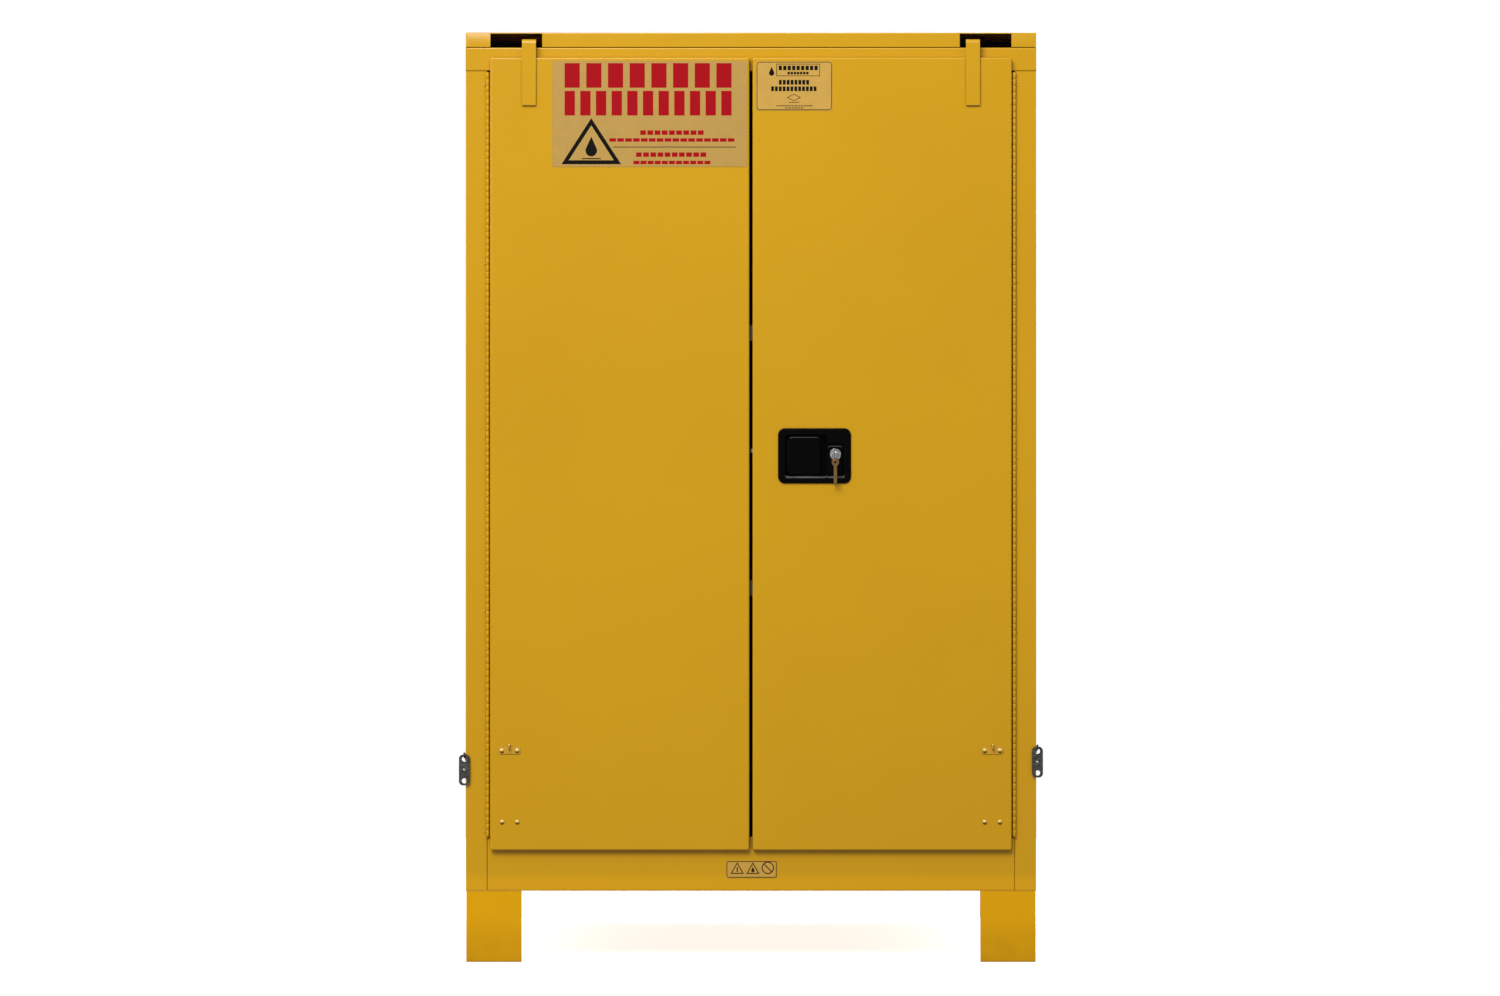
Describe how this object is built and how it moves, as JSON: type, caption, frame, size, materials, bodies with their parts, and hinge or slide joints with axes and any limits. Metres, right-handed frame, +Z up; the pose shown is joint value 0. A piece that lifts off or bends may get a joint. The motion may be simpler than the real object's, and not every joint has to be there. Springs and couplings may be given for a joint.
{
  "type": "flammable storage cabinet",
  "caption": "Free-standing yellow double-wall steel safety cabinet with self-closing hinged doors, recessed keyed latch, fusible links, tray shelves, sump, side vents and corner legs.",
  "frame": {"origin": "centre of the bounding box, on the floor under the feet", "axes": "+Z up; +X to the right seen from the front; the doors face -Y"},
  "size_m": [1.117, 0.902, 1.779],
  "materials": {
    "yellow": "powder coat, semi-gloss safety yellow",
    "leg_yellow": "powder coat, semi-gloss, slightly deeper yellow",
    "liner": "powder coat, satin",
    "galvanised": "galvanised sheet",
    "steel": "zinc-plated",
    "dark_steel": "dark oxide",
    "black": "moulded, semi-gloss",
    "chrome": "polished",
    "brass": "worn",
    "label": "printed film, satin"
  },
  "bodies": {
    "cabinet": {"back_panel": "yellow", "bottom_panel": "yellow", "top_cap": "yellow", "head_rail": "yellow", "bottom_rail": "yellow", "side_panel_left": "yellow", "vent_cap_left": "yellow", "hinge_frame_leaf_left": "yellow", "side_panel_right": "yellow", "vent_cap_right": "yellow", "hinge_frame_leaf_right": "yellow", "leg_front_left": "leg_yellow", "leg_rear_left": "leg_yellow", "leg_front_right": "leg_yellow", "leg_rear_right": "leg_yellow", "liner_back": "liner", "liner_top": "liner", "sump_tray": "liner", "liner_left": "liner", "liner_right": "liner", "shelf_lower": "galvanised", "shelf_upper": "galvanised", "shelf_rack_left": "galvanised", "shelf_rack_right": "galvanised", "flame_arrestor_left": "steel", "closer_post_left": "steel", "flame_arrestor_right": "steel", "closer_post_right": "steel", "closer_spring_left": "dark_steel", "link_hook_left": "dark_steel", "closer_spring_right": "dark_steel", "link_hook_right": "dark_steel", "ground_screw": "brass", "label_pictograms": "label"},
    "door_left": {"door_skin_left": "yellow", "door_pan_left": "liner", "hinge_door_leaf_left": "yellow", "link_bracket_left": "yellow", "lower_rivets_left": "yellow", "strike_plate": "steel", "label_warning": "label"},
    "door_right": {"door_skin_right": "yellow", "door_pan_right": "liner", "hinge_door_leaf_right": "yellow", "link_bracket_right": "yellow", "lower_rivets_right": "yellow", "latch_housing": "black", "lock_cylinder": "chrome", "label_notice": "label"},
    "closer_left": {"closer_arm_left": "yellow"},
    "closer_right": {"closer_arm_right": "yellow"},
    "link_left": {"fusible_link_left": "dark_steel"},
    "link_right": {"fusible_link_right": "dark_steel"},
    "paddle": {"latch_paddle": "black"},
    "bolt": {"latch_bolt": "steel"},
    "rod_upper": {"latch_rod_upper": "steel"},
    "rod_lower": {"latch_rod_lower": "steel"},
    "lock": {"lock_plug": "chrome"},
    "spare_key": {"spare_key": "brass"}
  },
  "joints": [
    {"name": "door_left_hinge", "type": "hinge", "parent": "cabinet", "child": "door_left", "pos_m": [-0.5036, -0.4035, 0.971], "axis": [0, 0, -1], "range_deg": [0, 95], "stiffness_Nm_per_rad": 4, "springref_deg": -20.05},
    {"name": "closer_left_pivot", "type": "hinge", "parent": "cabinet", "child": "closer_left", "pos_m": [-0.5136, -0.3885, 1.763], "axis": [0, 0, -1], "range_deg": [0, 82]},
    {"name": "link_left_swing", "type": "hinge", "parent": "cabinet", "child": "link_left", "pos_m": [-0.548, -0.4042, 0.3918], "axis": [0, 1, 0], "range_deg": [-30, 90]},
    {"name": "door_right_hinge", "type": "hinge", "parent": "cabinet", "child": "door_right", "pos_m": [0.5036, -0.4035, 0.971], "axis": [0, 0, 1], "range_deg": [0, 95], "stiffness_Nm_per_rad": 4, "springref_deg": -20.05},
    {"name": "closer_right_pivot", "type": "hinge", "parent": "cabinet", "child": "closer_right", "pos_m": [0.5136, -0.3885, 1.763], "axis": [0, 0, 1], "range_deg": [0, 82]},
    {"name": "link_right_swing", "type": "hinge", "parent": "cabinet", "child": "link_right", "pos_m": [0.548, -0.4042, 0.4069], "axis": [0, -1, 0], "range_deg": [-30, 90]},
    {"name": "paddle_hinge", "type": "hinge", "parent": "door_right", "child": "paddle", "pos_m": [0.07, -0.408, 0.968], "axis": [0, 0, -1], "range_deg": [0, 38], "stiffness_Nm_per_rad": 0.4, "springref_deg": -17.19},
    {"name": "bolt_slide", "type": "slide", "parent": "door_right", "child": "bolt", "axis": [1, 0, 0], "range_m": [0, 0.006]},
    {"name": "rod_upper_slide", "type": "slide", "parent": "door_right", "child": "rod_upper", "axis": [0, 0, -1], "range_m": [0, 0.008]},
    {"name": "rod_lower_slide", "type": "slide", "parent": "door_right", "child": "rod_lower", "axis": [0, 0, 1], "range_m": [0, 0.008]},
    {"name": "lock_turn", "type": "hinge", "parent": "door_right", "child": "lock", "pos_m": [0.1613, -0.41, 0.9717], "axis": [0, 1, 0], "range_deg": [0, 90]},
    {"name": "spare_key_swing", "type": "hinge", "parent": "door_right", "child": "spare_key", "pos_m": [0.1613, -0.4265, 0.9717], "axis": [0, 1, 0], "range_deg": [-30, 30]}
  ],
  "couplings": [
    {"joint": "closer_left_pivot", "follows": "door_left_hinge", "ratio": 0.86},
    {"joint": "closer_right_pivot", "follows": "door_right_hinge", "ratio": 0.86},
    {"joint": "bolt_slide", "follows": "paddle_hinge", "m_per_rad": 0.009},
    {"joint": "rod_upper_slide", "follows": "paddle_hinge", "m_per_rad": 0.012},
    {"joint": "rod_lower_slide", "follows": "paddle_hinge", "m_per_rad": 0.012}
  ]
}
